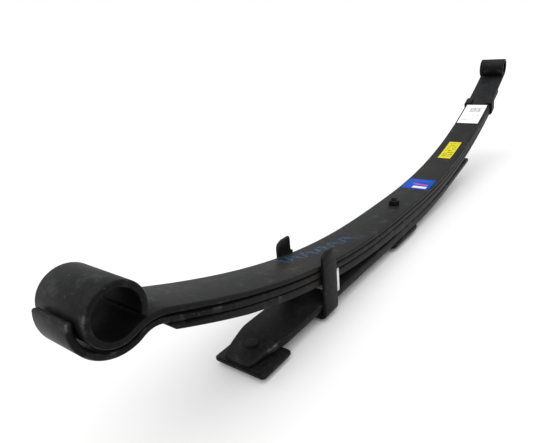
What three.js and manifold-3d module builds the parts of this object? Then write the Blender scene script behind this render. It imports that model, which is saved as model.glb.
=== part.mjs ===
import * as THREE from 'three';
import { mergeVertices } from 'three/addons/utils/BufferGeometryUtils.js';
import Module from 'manifold-3d';

// A leaf spring for the rear axle of a light pick-up: three arched leaves on a straight overload leaf.
// Millimetres. +X runs towards the rear eye, +Y across the leaves and +Z up.
// The origin is the middle of the flat end of the centre bolt's locating head, under the seat.
// Every place along the spring is a signed length s on the top surface of the main leaf, 0 at the bolt.

// Leaves
const leafWidth = 60;
const mainThickness = 6;
const secondThickness = 7.8;
const thirdMidThickness = 13;
const thirdEndThickness = 8;
const thirdTipThickness = 3.4;
const overloadMidThickness = 14.3;
const overloadEndThickness = 9;
const overloadTipThickness = 6;
const leafGap = 1.4;
const leafEdge = 1.6;
const overloadEdge = 2.4;

// Arch: the slope at s is limit * s^power / (span^power + s^power)
const frontArch = { limit: 43.2, span: 499, power: 2 };
const rearArch = { limit: 62.75, span: 832, power: 1.5 };
const frontArm = 510;
const rearArm = 708;

// Eyes: the leaf dips over a shoulder, then runs round the bore; rise is the bore's centre over the arm
const frontEye = { bore: 18.5, shoulder: 45, rise: 0, tipAngle: 189 };
const rearEye = { bore: 16, shoulder: 0, rise: 16, tipAngle: 221 };

// Second leaf: a wrap round the front eye, narrower and thinned from above towards its tip
const wrapAngle = -5;
const wrapShoulder = 35;
const wrapRise = -1.5;
const wrapTipWidth = 42;
const wrapTaperStart = -430;
const wrapTaperEnd = -575;
const secondThinStart = -270;
const secondThinning = 2.2;
const secondRearLength = rearArm - 68;

// Third leaf, with its front tip ground thin from below
const thirdFrontLength = frontArm - 8;
const thirdBevelLength = 90;
const thirdTaperLength = 400;

// Overload leaf: a straight front half with a tapered, bent tip, and a rear half that leaves the arch
const overloadFrontLength = 412;
const overloadFrontDrop = 1.5;
const overloadTipLength = 44;
const overloadTipDrop = 9.6;
const overloadSeatHalf = 60;
const overloadBend = 220;
const overloadRearStraight = 145;
const overloadTaperLength = 44;
const overloadTipWidth = 38;
const overloadTipShift = 4;

// Pad under the front tip of the overload leaf
const padLength = 50;
const padWidth = 70;
const padThickness = 4.2;
const padCorner = 4;
const padOverhang = 2;

// Plate under the seat
const plateFrontLength = 70;
const plateRearLength = 40;
const plateWidth = 64;
const plateThickness = 6;
const plateCorner = 12;

// Centre bolt and nut
const boltRadius = 5;
const boltHeadRadius = 8;
const boltHeadHeight = 6;
const boltEndHeight = 13;
const nutAcrossFlats = 17;
const nutHeight = 8;

// Front clip: an upright strap round all four leaves, open at the top
const frontClipPlace = -275;
const frontClipWidth = 30;
const frontClipRoom = 7;
const clipThickness = 4.5;
const clipBend = 9;
const nearEarHeight = 19;
const farEarHeight = 21;
const earStep = 4.5;
const earStepHeight = 4;
const earCorner = 10;

// Rear clip: a strap square to the leaves with its ears folded over the main leaf
const rearClipPlace = 565;
const rearClipWidth = 25;
const rearClipThickness = 4;
const rearClipBend = 7;
const rearClipFold = 17;
const thirdRearLength = rearClipPlace + 25;

// Plated liner that sits on the overload leaf in the front clip
const linerThickness = 2;
const linerTabHeight = 33;
const linerTabLength = 9;

// Rivets
const rivetRadius = 4;
const rivetHeadRadius = 7.5;
const rivetHeadHeight = 3.5;
const padRivetHeadHeight = 1;
const headRoot = 1;

// Thin pieces between the leaves
const shimThickness = 0.7;
const shimLength = 110;
const shimWidth = 56;
const tipPadLength = 30;
const tipPadWidth = 40;
const tipPadInset = 6;

// Labels on the main leaf: start, length and side edges
const labelThickness = 0.3;
const labels = [
  { name: 'label_blue', start: 93, length: 54, low: -26, high: 26, colour: 0x1246b0 },
  { name: 'label_yellow', start: 271, length: 87, low: -14.5, high: 12.5, colour: 0xd8c815 },
  { name: 'label_white', start: 458, length: 92, low: -24, high: 26, colour: 0xf2f2f2 },
];

// Fits
const restGap = 0.3;
const clipGap = 0.5;
const shankGap = 0.3;

// Smoothness
const archStep = 28;
const eyeStep = 9;
const roundSides = 20;

// Depths of each leaf's top surface below the main leaf's top surface
const secondDepth = mainThickness + leafGap;
const thirdDepth = secondDepth + secondThickness + leafGap;
const overloadDepth = thirdDepth + thirdMidThickness + leafGap;
const plateDepth = overloadDepth + overloadMidThickness + restGap;
const headDepth = plateDepth + plateThickness + restGap;
const seatHeight = headDepth + boltHeadHeight;

const wasm = await Module();
wasm.setup();

const spring = new THREE.Group();
spring.position.z = seatHeight;

// ---- Shape helpers

function toSolid(geometry) {
  const bare = geometry.clone();
  bare.deleteAttribute('normal');
  bare.deleteAttribute('uv');
  const merged = mergeVertices(bare, 1e-4);
  const mesh = new wasm.Mesh({
    numProp: 3,
    vertProperties: new Float32Array(merged.attributes.position.array),
    triVerts: new Uint32Array(merged.index.array),
  });
  return new wasm.Manifold(mesh);
}

function toGeometry(solid) {
  const mesh = solid.getMesh();
  const geometry = new THREE.BufferGeometry();
  geometry.setAttribute('position', new THREE.BufferAttribute(mesh.vertProperties, 3));
  geometry.setIndex(new THREE.BufferAttribute(mesh.triVerts, 1));
  return geometry;
}

function cut(geometry, ...cutters) {
  let solid = toSolid(geometry);
  for (const cutter of cutters) {
    solid = solid.subtract(toSolid(cutter));
  }
  return toGeometry(solid);
}

function join(geometry, other) {
  return toGeometry(toSolid(geometry).add(toSolid(other)));
}

function addPiece(name, geometry, colour, roughness, metalness) {
  const material = new THREE.MeshStandardMaterial({ color: colour, roughness, metalness });
  const mesh = new THREE.Mesh(geometry, material);
  mesh.name = name;
  spring.add(mesh);
  return mesh;
}

function addPainted(name, geometry) {
  return addPiece(name, geometry, 0x16171a, 0.5, 0.2);
}

function addPlated(name, geometry) {
  return addPiece(name, geometry, 0xb9bcc0, 0.35, 1);
}

function extrude(shape, depth) {
  return new THREE.ExtrudeGeometry(shape, { depth, bevelEnabled: false, curveSegments: 5 });
}

// A side outline in X and Z, made solid from y = low to y = high, with its long edges chamfered
function sideSolid(points, low, high, edge = 0) {
  const geometry = new THREE.ExtrudeGeometry(new THREE.Shape(points), {
    depth: high - low - 2 * edge,
    bevelEnabled: edge > 0,
    bevelThickness: edge,
    bevelSize: edge,
    bevelOffset: -edge,
    bevelSegments: 1,
  });
  geometry.rotateX(Math.PI / 2);
  geometry.translate(0, high - edge, 0);
  return geometry;
}

// A cross outline in Y and Z, made solid along X
function crossSolid(shape, length) {
  const geometry = extrude(shape, length);
  geometry.rotateX(Math.PI / 2);
  geometry.rotateZ(Math.PI / 2);
  geometry.translate(-length / 2, 0, 0);
  return geometry;
}

function block(x0, x1, y0, y1, z0, z1) {
  const geometry = new THREE.BoxGeometry(x1 - x0, y1 - y0, z1 - z0);
  geometry.translate((x0 + x1) / 2, (y0 + y1) / 2, (z0 + z1) / 2);
  return geometry;
}

// An upright round bar from z0 to z1
function post(radius, z0, z1, x = 0, sides = roundSides) {
  const geometry = new THREE.CylinderGeometry(radius, radius, z1 - z0, sides);
  geometry.rotateX(Math.PI / 2);
  geometry.translate(x, 0, (z0 + z1) / 2);
  return geometry;
}

// A plate lying flat with rounded corners
function roundedPlate(x0, x1, width, z0, z1, corner) {
  const half = width / 2;
  const shape = new THREE.Shape();
  shape.moveTo(x0 + corner, -half);
  shape.lineTo(x1 - corner, -half);
  shape.absarc(x1 - corner, -half + corner, corner, -Math.PI / 2, 0, false);
  shape.lineTo(x1, half - corner);
  shape.absarc(x1 - corner, half - corner, corner, 0, Math.PI / 2, false);
  shape.lineTo(x0 + corner, half);
  shape.absarc(x0 + corner, half - corner, corner, Math.PI / 2, Math.PI, false);
  shape.lineTo(x0, -half + corner);
  shape.absarc(x0 + corner, -half + corner, corner, Math.PI, Math.PI * 1.5, false);
  const geometry = extrude(shape, z1 - z0);
  geometry.translate(0, 0, z0);
  return geometry;
}

// ---- The main leaf's top surface

function slopeAt(arch, length) {
  const share = length ** arch.power;
  return THREE.MathUtils.degToRad((arch.limit * share) / (arch.span ** arch.power + share));
}

// A station holds a point on a top surface, the way up from it and the way out to the nearer eye
function archStation(s) {
  const side = Math.sign(s) || 1;
  const arch = s < 0 ? frontArch : rearArch;
  const steps = Math.max(1, Math.ceil(Math.abs(s) / 2));
  const step = Math.abs(s) / steps;
  let x = 0;
  let z = 0;
  for (let i = 0; i < steps; i++) {
    const slope = slopeAt(arch, (i + 0.5) * step);
    x += Math.cos(slope) * step;
    z += Math.sin(slope) * step;
  }
  const slope = slopeAt(arch, Math.abs(s));
  return {
    s,
    point: new THREE.Vector2(side * x, z),
    up: new THREE.Vector2(-side * Math.sin(slope), Math.cos(slope)),
    out: new THREE.Vector2(side * Math.cos(slope), Math.sin(slope)),
  };
}

// Stations from s = low to s = high, with one at the bolt
function archStations(low, high) {
  const stations = [];
  const before = low < 0 && high > 0 ? [[low, 0], [0, high]] : [[low, high]];
  for (const [from, to] of before) {
    const count = Math.ceil((to - from) / archStep);
    for (let i = 0; i < count; i++) {
      stations.push(archStation(from + ((to - from) * i) / count));
    }
  }
  stations.push(archStation(high));
  return stations;
}

function onStation(station, out, up) {
  return station.point.clone().addScaledVector(station.out, out).addScaledVector(station.up, up);
}

// The shoulder and the loop past the end of an arm, up to endAngle round the bore
function eyeLoop(armEnd, eye, endAngle) {
  const reach = Math.sqrt((eye.bore + eye.shoulder) ** 2 - (eye.shoulder + eye.rise) ** 2);
  const turn = Math.acos((eye.shoulder + eye.rise) / (eye.shoulder + eye.bore));
  const centre = onStation(armEnd, reach, eye.rise);
  const pivot = onStation(armEnd, 0, -eye.shoulder);
  const eyeStepAngle = THREE.MathUtils.degToRad(eyeStep);
  const stations = [];
  const shoulderCount = Math.ceil(turn / eyeStepAngle);
  for (let i = 1; i < shoulderCount; i++) {
    const angle = (turn * i) / shoulderCount;
    const up = armEnd.up.clone().multiplyScalar(Math.cos(angle));
    up.addScaledVector(armEnd.out, Math.sin(angle));
    stations.push({ s: armEnd.s, point: pivot.clone().addScaledVector(up, eye.shoulder), up });
  }
  const start = -Math.PI / 2 - turn;
  const sweep = THREE.MathUtils.degToRad(endAngle) - start;
  const loopCount = Math.ceil(sweep / eyeStepAngle);
  for (let i = eye.shoulder > 0 ? 0 : 1; i <= loopCount; i++) {
    const angle = start + (sweep * i) / loopCount;
    const spoke = armEnd.out.clone().multiplyScalar(Math.cos(angle));
    spoke.addScaledVector(armEnd.up, Math.sin(angle));
    const point = centre.clone().addScaledVector(spoke, eye.bore);
    stations.push({ s: armEnd.s, point, up: spoke.clone().negate() });
  }
  return { centre, stations };
}

// The side outline between two depths below a row of stations
function bandOutline(stations, upper, lower) {
  const at = (station, depth) => station.point.clone().addScaledVector(station.up, -depth(station.s));
  const top = stations.map((station) => at(station, upper));
  const bottom = stations.map((station) => at(station, lower));
  return [...bottom, ...top.reverse()];
}

function level(depth) {
  return () => depth;
}

function bandSolid(stations, upper, lower, width, edge = 0) {
  return sideSolid(bandOutline(stations, upper, lower), -width / 2, width / 2, edge);
}

// ---- Leaves

const boltHole = post(boltRadius + shankGap, -seatHeight, seatHeight);
const frontLoop = eyeLoop(archStation(-frontArm), frontEye, frontEye.tipAngle);
const rearLoop = eyeLoop(archStation(rearArm), rearEye, rearEye.tipAngle);

function mainLeaf() {
  const stations = [
    ...frontLoop.stations.slice().reverse(),
    ...archStations(-frontArm, rearArm),
    ...rearLoop.stations,
  ];
  return cut(bandSolid(stations, level(0), level(mainThickness), leafWidth, leafEdge), boltHole);
}

// A wedge that trims one side of a leaf, from the full width at x = start to half a width at x = end
function planTrim(side, start, end, endHalf) {
  const slant = (leafWidth / 2 - endHalf) / (start - end);
  const tip = end - leafWidth;
  const tipHalf = endHalf - slant * leafWidth;
  const points = [
    new THREE.Vector2(start, (side * leafWidth) / 2),
    new THREE.Vector2(tip, side * tipHalf),
    new THREE.Vector2(tip, side * leafWidth),
    new THREE.Vector2(start, side * leafWidth),
  ];
  const shape = new THREE.Shape(side > 0 ? points.reverse() : points);
  const geometry = extrude(shape, 4 * seatHeight);
  geometry.translate(0, 0, -seatHeight);
  return geometry;
}

function secondTop(s) {
  const share = (secondThinStart - s) / (secondThinStart + frontArm);
  return secondDepth + secondThinning * THREE.MathUtils.clamp(share, 0, 1);
}

function secondLeaf() {
  const wrapEye = { bore: frontEye.bore, shoulder: wrapShoulder, rise: wrapRise };
  const wrap = eyeLoop(archStation(-frontArm), wrapEye, wrapAngle).stations;
  const stations = [...wrap.reverse(), ...archStations(-frontArm, secondRearLength)];
  const lower = level(secondDepth + secondThickness);
  const trims = [-1, 1].map((side) => planTrim(side, wrapTaperStart, wrapTaperEnd, wrapTipWidth / 2));
  return cut(bandSolid(stations, secondTop, lower, leafWidth, leafEdge), boltHole, ...trims);
}

// Rivets stand square to the leaf they hold, at a station
function rivetSolid(radius, headRadius, below, above, station) {
  const shank = post(radius, -below - headRoot, above);
  const head = post(headRadius, -below - rivetHeadHeight, -below);
  const geometry = join(shank, head);
  return place(geometry, station);
}

function place(geometry, station) {
  geometry.rotateY(Math.atan2(station.up.x, station.up.y));
  geometry.translate(station.point.x, 0, station.point.y);
  return geometry;
}

function thirdThickness(s) {
  const share = Math.min(1, Math.abs(s) / thirdTaperLength);
  const plain = THREE.MathUtils.lerp(thirdMidThickness, thirdEndThickness, share);
  const bevel = Math.max(0, (-s - thirdFrontLength + thirdBevelLength) / thirdBevelLength);
  return THREE.MathUtils.lerp(plain, thirdTipThickness, bevel);
}

const rearClipStation = archStation(rearClipPlace);
const rearClipFloor = thirdDepth + thirdThickness(rearClipPlace) + clipGap;

function thirdLeaf() {
  const stations = archStations(-thirdFrontLength, thirdRearLength);
  const lower = (s) => thirdDepth + thirdThickness(s);
  const body = bandSolid(stations, level(thirdDepth), lower, leafWidth, leafEdge);
  const hole = place(post(rivetRadius + shankGap, -3 * thirdDepth, 0), rearClipStation);
  return cut(body, boltHole, hole);
}

// How far x is along the straight front of the overload leaf and along its bent tip, each 0 to 1
const overloadTipStart = -overloadFrontLength + overloadTipLength;

function overloadShares(x) {
  const along = (-overloadSeatHalf - x) / (-overloadSeatHalf - overloadTipStart);
  const past = (overloadTipStart - x) / overloadTipLength;
  return [along, past].map((share) => THREE.MathUtils.clamp(share, 0, 1));
}

function overloadTop(x) {
  const [along, past] = overloadShares(x);
  return -overloadDepth - overloadFrontDrop * along - overloadTipDrop * past ** 1.5;
}

function overloadThickness(s) {
  const { lerp, clamp } = THREE.MathUtils;
  if (s < 0) {
    const [along, past] = overloadShares(s);
    return lerp(lerp(overloadMidThickness, overloadEndThickness, along), overloadTipThickness, past);
  }
  const share = (s - overloadSeatHalf) / (overloadBend + overloadRearStraight - overloadSeatHalf);
  return lerp(overloadMidThickness, overloadEndThickness, clamp(share, 0, 1));
}

function overloadBottom(x) {
  return overloadTop(x) - overloadThickness(x);
}

// Stations on the overload leaf's own top surface
function overloadStations() {
  const up = new THREE.Vector2(0, 1);
  const places = [0, 0.25, 0.5, 0.75].map((part) => -overloadFrontLength + part * overloadTipLength);
  places.push(overloadTipStart, (overloadTipStart - overloadSeatHalf) / 2, -overloadSeatHalf);
  const stations = places.map((x) => ({ s: x, point: new THREE.Vector2(x, overloadTop(x)), up }));
  for (const station of archStations(0, overloadBend)) {
    stations.push({ ...station, point: onStation(station, 0, -overloadDepth) });
  }
  const bend = stations[stations.length - 1];
  const point = bend.point.clone().addScaledVector(bend.out, overloadRearStraight);
  stations.push({ s: overloadBend + overloadRearStraight, point, up: bend.up });
  return stations;
}

const padPlace = -overloadFrontLength - padOverhang + padLength / 2;

function overloadLeaf() {
  const body = bandSolid(overloadStations(), level(0), overloadThickness, leafWidth, overloadEdge);
  const holes = [padPlace, frontClipPlace].map((x) => post(rivetRadius + shankGap, -seatHeight, 0, x));
  const start = -overloadFrontLength + overloadTaperLength;
  const trims = [-1, 1].map((side) => {
    const endHalf = overloadTipWidth / 2 + side * overloadTipShift;
    return planTrim(side, start, -overloadFrontLength, endHalf);
  });
  return cut(body, boltHole, ...trims, ...holes);
}

addPainted('main_leaf', mainLeaf());
addPainted('second_leaf', secondLeaf());
addPainted('third_leaf', thirdLeaf());
addPainted('overload_leaf', overloadLeaf());

// ---- Seat: plate, centre bolt and nut

const plate = roundedPlate(
  -plateFrontLength, plateRearLength, plateWidth, -plateDepth - plateThickness, -plateDepth, plateCorner,
);
addPainted('centre_plate', cut(plate, boltHole));

const boltHead = post(boltHeadRadius, -seatHeight, -headDepth);
addPainted('centre_bolt', join(boltHead, post(boltRadius, -headDepth - headRoot, boltEndHeight)));

const nutBody = post(nutAcrossFlats / Math.sqrt(3), restGap, restGap + nutHeight, 0, 6);
addPainted('centre_nut', cut(nutBody, boltHole));

// ---- Pad under the overload leaf's front tip

const padTop = Math.min(overloadBottom(-overloadFrontLength), overloadBottom(padPlace)) - restGap - 0.1;
const padBottom = padTop - padThickness;
const padEnd = padPlace + padLength / 2;
const pad = roundedPlate(padPlace - padLength / 2, padEnd, padWidth, padBottom, padTop, padCorner);
addPainted('overload_pad', cut(pad, post(rivetRadius + shankGap, -seatHeight, 0, padPlace)));

// The rivet's head lies on the leaf and its tail ends flush inside the pad
const padRivetTop = overloadTop(padPlace + rivetHeadRadius) + restGap;
const padRivet = join(
  post(rivetRadius, padBottom + restGap, padRivetTop + padRivetHeadHeight, padPlace),
  post(rivetHeadRadius, padRivetTop, padRivetTop + padRivetHeadHeight, padPlace),
);
addPainted('pad_rivet', padRivet);

// ---- Front clip

const clipHalf = leafWidth / 2 + clipGap;
const clipFront = frontClipPlace - frontClipWidth / 2;
const clipRear = frontClipPlace + frontClipWidth / 2;
const clipFloor = Math.min(overloadBottom(clipFront), overloadBottom(clipRear)) - clipGap - frontClipRoom;

function topAtX(x) {
  return archStation(x).point.y;
}

// A strap bent to a U: inner half width, floor, tops of its two legs, wall and outer bend radius
function strapShape(half, floor, lowTop, highTop, wall, bend) {
  const outer = half + wall;
  const inside = bend - wall;
  const shape = new THREE.Shape();
  shape.moveTo(-outer, lowTop);
  shape.lineTo(-outer, floor - wall + bend);
  shape.absarc(-outer + bend, floor - wall + bend, bend, Math.PI, Math.PI * 1.5, false);
  shape.lineTo(outer - bend, floor - wall);
  shape.absarc(outer - bend, floor - wall + bend, bend, Math.PI * 1.5, Math.PI * 2, false);
  shape.lineTo(outer, highTop);
  shape.lineTo(half, highTop);
  shape.lineTo(half, floor + inside);
  shape.absarc(half - inside, floor + inside, inside, 0, -Math.PI / 2, true);
  shape.lineTo(-half + inside, floor);
  shape.absarc(-half + inside, floor + inside, inside, -Math.PI / 2, -Math.PI, true);
  shape.lineTo(-half, lowTop);
  return shape;
}

// Takes the step behind both ears and the slanted front corner off one ear
function earStepCutter() {
  const low = topAtX(clipRear) + earStepHeight;
  return block(clipRear - earStep, clipRear + 5, -padWidth, padWidth, low, low + seatHeight);
}

function earCornerCutter(side, top) {
  const corner = new THREE.Shape();
  const past = 2;
  corner.moveTo(clipFront - past, top - earCorner - past);
  corner.lineTo(clipFront, top - earCorner);
  corner.absarc(clipFront + earCorner, top - earCorner, earCorner, Math.PI, Math.PI / 2, true);
  corner.lineTo(clipFront + earCorner, top + past);
  corner.lineTo(clipFront - past, top + past);
  const points = corner.getPoints(4).reverse();
  const low = side < 0 ? -padWidth : clipHalf - past;
  return sideSolid(points, low, low + padWidth - clipHalf + past);
}

const nearEarTop = topAtX(frontClipPlace) + nearEarHeight;
const farEarTop = topAtX(frontClipPlace) + farEarHeight;
const frontClipShape = strapShape(clipHalf, clipFloor, nearEarTop, farEarTop, clipThickness, clipBend);
const frontClipBody = crossSolid(frontClipShape, frontClipWidth);
frontClipBody.translate(frontClipPlace, 0, 0);
const frontRivetHole = post(rivetRadius + shankGap, -seatHeight, 0, frontClipPlace);
addPainted('front_clip', cut(
  frontClipBody,
  earStepCutter(),
  earCornerCutter(-1, nearEarTop),
  earCornerCutter(1, farEarTop),
  frontRivetHole,
));

// The liner lies on the overload leaf and shows its two tabs behind the clip
const linerFloor = overloadTop(clipRear + linerTabLength) + restGap;
const linerRear = clipRear + restGap + linerTabLength;
const linerHalf = leafWidth / 2 + restGap;
const linerBase = block(
  frontClipPlace, linerRear, -linerHalf - linerThickness, linerHalf + linerThickness,
  linerFloor, linerFloor + linerThickness,
);
const linerBaseTrim = [-1, 1].map((side) => {
  const from = Math.min(side * linerHalf, side * padWidth);
  return block(frontClipPlace - 1, clipRear + restGap, from, from + padWidth - linerHalf, -seatHeight, 0);
});
let liner = cut(linerBase, ...linerBaseTrim);
for (const side of [-1, 1]) {
  const from = Math.min(side * linerHalf, side * (linerHalf + linerThickness));
  const tab = block(
    clipRear + restGap, linerRear, from, from + linerThickness, linerFloor, linerFloor + linerTabHeight,
  );
  liner = join(liner, tab);
}
addPlated('clip_liner', cut(liner, frontRivetHole));

const frontRivetLow = clipFloor - clipThickness - restGap;
const frontRivet = join(
  post(rivetRadius, frontRivetLow - headRoot, overloadTop(frontClipPlace), frontClipPlace),
  post(rivetHeadRadius, frontRivetLow - rivetHeadHeight, frontRivetLow, frontClipPlace),
);
addPainted('front_clip_rivet', frontRivet);

// ---- Rear clip

function rearClipBody() {
  const earFloor = clipGap;
  const shape = strapShape(
    clipHalf, -rearClipFloor, earFloor + rearClipThickness, earFloor + rearClipThickness,
    rearClipThickness, rearClipBend,
  );
  let body = crossSolid(shape, rearClipWidth);
  for (const side of [-1, 1]) {
    const from = Math.min(side * clipHalf, side * (clipHalf - rearClipFold));
    const half = rearClipWidth / 2;
    const ear = block(-half, half, from, from + rearClipFold, earFloor, earFloor + rearClipThickness);
    body = join(body, ear);
  }
  const hole = post(rivetRadius + shankGap, -rearClipFloor - 2 * rearClipThickness, 0);
  return place(cut(body, hole), rearClipStation);
}

addPainted('rear_clip', rearClipBody());

const rearRivetLow = rearClipFloor + rearClipThickness + restGap;
addPainted('rear_clip_rivet', rivetSolid(
  rivetRadius, rivetHeadRadius, rearRivetLow, -thirdDepth - restGap, rearClipStation,
));

// ---- Seat shims and tip pads between the leaves

const shimDepths = [mainThickness, secondDepth + secondThickness, thirdDepth + thirdMidThickness];
shimDepths.forEach((depth, index) => {
  const top = depth + (leafGap - shimThickness) / 2;
  const half = index < 2 ? shimLength / 2 : overloadSeatHalf - 5;
  const shim = bandSolid(archStations(-half, half), level(top), level(top + shimThickness), shimWidth);
  addPiece(`seat_shim_${index + 1}`, cut(shim, boltHole), 0x3a3c40, 0.6, 0.5);
});

const tipPads = [
  { name: 'second_rear_tip_pad', end: secondRearLength, depth: mainThickness },
  { name: 'third_front_tip_pad', end: -thirdFrontLength, depth: secondDepth + secondThickness },
  { name: 'third_rear_tip_pad', end: thirdRearLength, depth: secondDepth + secondThickness },
];
for (const { name, end, depth } of tipPads) {
  const outer = end - Math.sign(end) * tipPadInset;
  const inner = outer - Math.sign(end) * tipPadLength;
  const top = depth + (leafGap - shimThickness) / 2;
  const stations = archStations(Math.min(inner, outer), Math.max(inner, outer));
  const geometry = bandSolid(stations, level(top), level(top + shimThickness), tipPadWidth);
  addPiece(name, geometry, 0x2a2a2a, 0.8, 0);
}

// ---- Labels stuck on the main leaf

for (const { name, start, length, low, high, colour } of labels) {
  const stations = archStations(start, start + length);
  const outline = bandOutline(stations, level(-restGap - labelThickness), level(-restGap));
  addPiece(name, sideSolid(outline, low, high), colour, 0.45, 0);
}

const part = new THREE.Group();
part.add(spring);
part.updateMatrixWorld(true);

export default part;
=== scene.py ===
import math
import bpy
import bmesh
from mathutils import Matrix, Vector


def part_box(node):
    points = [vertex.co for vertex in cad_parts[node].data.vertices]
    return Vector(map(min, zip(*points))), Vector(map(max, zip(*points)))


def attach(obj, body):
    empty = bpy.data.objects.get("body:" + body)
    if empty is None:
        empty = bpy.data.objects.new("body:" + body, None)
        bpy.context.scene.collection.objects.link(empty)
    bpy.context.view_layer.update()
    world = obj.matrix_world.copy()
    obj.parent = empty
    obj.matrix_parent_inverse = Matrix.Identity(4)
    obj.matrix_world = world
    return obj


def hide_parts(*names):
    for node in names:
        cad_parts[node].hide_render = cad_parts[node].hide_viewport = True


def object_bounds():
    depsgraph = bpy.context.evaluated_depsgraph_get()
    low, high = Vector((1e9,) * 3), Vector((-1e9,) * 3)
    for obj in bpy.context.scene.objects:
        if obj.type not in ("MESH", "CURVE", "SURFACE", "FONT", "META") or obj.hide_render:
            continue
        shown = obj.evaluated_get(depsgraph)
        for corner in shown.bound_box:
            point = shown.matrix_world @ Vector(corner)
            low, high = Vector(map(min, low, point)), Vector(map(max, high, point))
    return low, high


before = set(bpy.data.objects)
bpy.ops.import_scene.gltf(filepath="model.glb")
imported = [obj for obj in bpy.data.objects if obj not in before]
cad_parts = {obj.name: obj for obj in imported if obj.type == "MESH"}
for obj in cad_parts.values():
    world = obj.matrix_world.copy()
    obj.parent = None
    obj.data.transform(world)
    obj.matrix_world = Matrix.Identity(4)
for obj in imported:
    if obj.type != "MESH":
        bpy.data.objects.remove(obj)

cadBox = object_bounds()
mm = 0.001
print("frame loaded,", len(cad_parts), "nodes")

# the bolt stands at x = 0 and y = 0, and this is the main leaf's top there
nutRest = 0.0003
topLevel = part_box("centre_nut")[0].z - nutRest


# a socket that can be used in sums; each sum adds a Math node to its tree
class Wire:
    def __init__(self, tree, socket):
        self.tree = tree
        self.socket = socket

    def out(self, name):
        return Wire(self.tree, self.socket.node.outputs[name])

    def math(self, operation, *others):
        return self.tree.math(operation, self, *others)

    def __add__(self, other):
        return self.math("ADD", other)

    def __radd__(self, other):
        return self.tree.math("ADD", other, self)

    def __sub__(self, other):
        return self.math("SUBTRACT", other)

    def __rsub__(self, other):
        return self.tree.math("SUBTRACT", other, self)

    def __mul__(self, other):
        return self.math("MULTIPLY", other)

    def __rmul__(self, other):
        return self.tree.math("MULTIPLY", other, self)

    def __truediv__(self, other):
        return self.math("DIVIDE", other)

    def __rtruediv__(self, other):
        return self.tree.math("DIVIDE", other, self)

    def __gt__(self, other):
        return self.math("GREATER_THAN", other)

    def __lt__(self, other):
        return self.math("LESS_THAN", other)

    def clamp(self):
        return self.math("MINIMUM", 1.0).math("MAXIMUM", 0.0)


class Tree:
    mathNode = "ShaderNodeMath"

    def __init__(self, nodeTree):
        self.nodes = nodeTree.nodes
        self.links = nodeTree.links

    def plug(self, socket, value):
        if isinstance(value, Wire):
            self.links.new(value.socket, socket)
        else:
            socket.default_value = value

    # any node: its type, its settings, then the values or links of its sockets by name or number
    def add(self, kind, settings=None, sockets=None):
        node = self.nodes.new(kind)
        for name, value in (settings or {}).items():
            setattr(node, name, value)
        for name, value in (sockets or {}).items():
            self.plug(node.inputs[name], value)
        return Wire(self, node.outputs[0]) if node.outputs else node

    def math(self, operation, *values):
        return self.add(self.mathNode, {"operation": operation}, dict(enumerate(values)))

    def vector(self, operation, *values):
        return self.add("ShaderNodeVectorMath", {"operation": operation}, dict(enumerate(values)))

    def scaled(self, vector, factor):
        return self.add("ShaderNodeVectorMath", {"operation": "SCALE"}, {0: vector, "Scale": factor})

    def mixColour(self, factor, first, second):
        mix = self.add("ShaderNodeMix", {"data_type": "RGBA"}, {0: factor, 6: first, 7: second})
        return Wire(self, mix.socket.node.outputs[2])

    # rises smoothly from 0 to 1 as value goes from low to high
    def ease(self, value, low, high):
        settings = {"interpolation_type": "SMOOTHSTEP"}
        return self.add("ShaderNodeMapRange", settings, {"Value": value, "From Min": low, "From Max": high})

    def noise(self, place, scale, detail=3.0, rough=0.55):
        sockets = {"Vector": place, "Scale": scale, "Detail": detail, "Roughness": rough}
        return self.add("ShaderNodeTexNoise", None, sockets)


def newFinish(name):
    material = bpy.data.materials.new(name)
    material.use_nodes = True
    material.node_tree.nodes.clear()
    tree = Tree(material.node_tree)
    shader = tree.add("ShaderNodeBsdfPrincipled")
    tree.add("ShaderNodeOutputMaterial", None, {"Surface": shader})
    return material, tree, shader.socket.node


# feeds a shader's colour, roughness and bump
def dress(tree, shader, colour, rough, height, depth, strength):
    bump = tree.add("ShaderNodeBump", None, {"Height": height, "Distance": depth, "Strength": strength})
    tree.plug(shader.inputs["Base Color"], colour)
    tree.plug(shader.inputs["Roughness"], rough)
    tree.plug(shader.inputs["Normal"], bump)


# satin black paint on hot-rolled steel; lengths in metres, colours linear
paint = {
    "deep": (0.0030, 0.0031, 0.0034, 1),
    # the lighter colour of dust, also laid on faces that look up as painted top light
    "litTopDustColour": (0.0150, 0.0153, 0.0162, 1),
    # lighter colour for paint rubbed through, also used as a painted highlight along edges
    "wornAndHighlight": (0.075, 0.076, 0.078, 1),
    "warmTint": (0.017, 0.0145, 0.0115, 1),
    "blotchScale": 14.0, "streakStretch": (5.0, 90.0, 90.0), "scaleGrain": 230.0, "peelGrain": 900.0,
    "blotchShare": 0.45, "streakShare": 0.25, "grainShare": 0.4, "dustFrom": 0.30, "dustTo": 0.76,
    # the facing range and the side share set how much lighter faces that look up are painted than sides:
    # dust, and painted top light and painted side shade
    "facingFrom": -0.1, "facingTo": 0.95, "sideDustAndShade": 0.14,
    "warmScale": 8.4, "warmFrom": 0.56, "warmTo": 0.74, "warmShare": 0.45,
    "rubScale": 55.0, "rubFrom": 0.53, "rubTo": 0.72, "rubShare": 0.75,
    "speckScale": 420.0, "speckFrom": 0.70, "speckTo": 0.78, "speckShare": 0.4,
    "roughLow": 0.40, "roughHigh": 0.62, "wornRough": 0.1,
    "bumpDepth": 0.00022, "bumpStrength": 0.8, "specular": 0.07,
    # the bore colour is painted shade inside both eyes
    "bore": (0.0006, 0.0006, 0.0007, 1), "boreRough": 0.2,
    "boreStart": -0.531, "rearBoreStart": 0.712,
}
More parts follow.
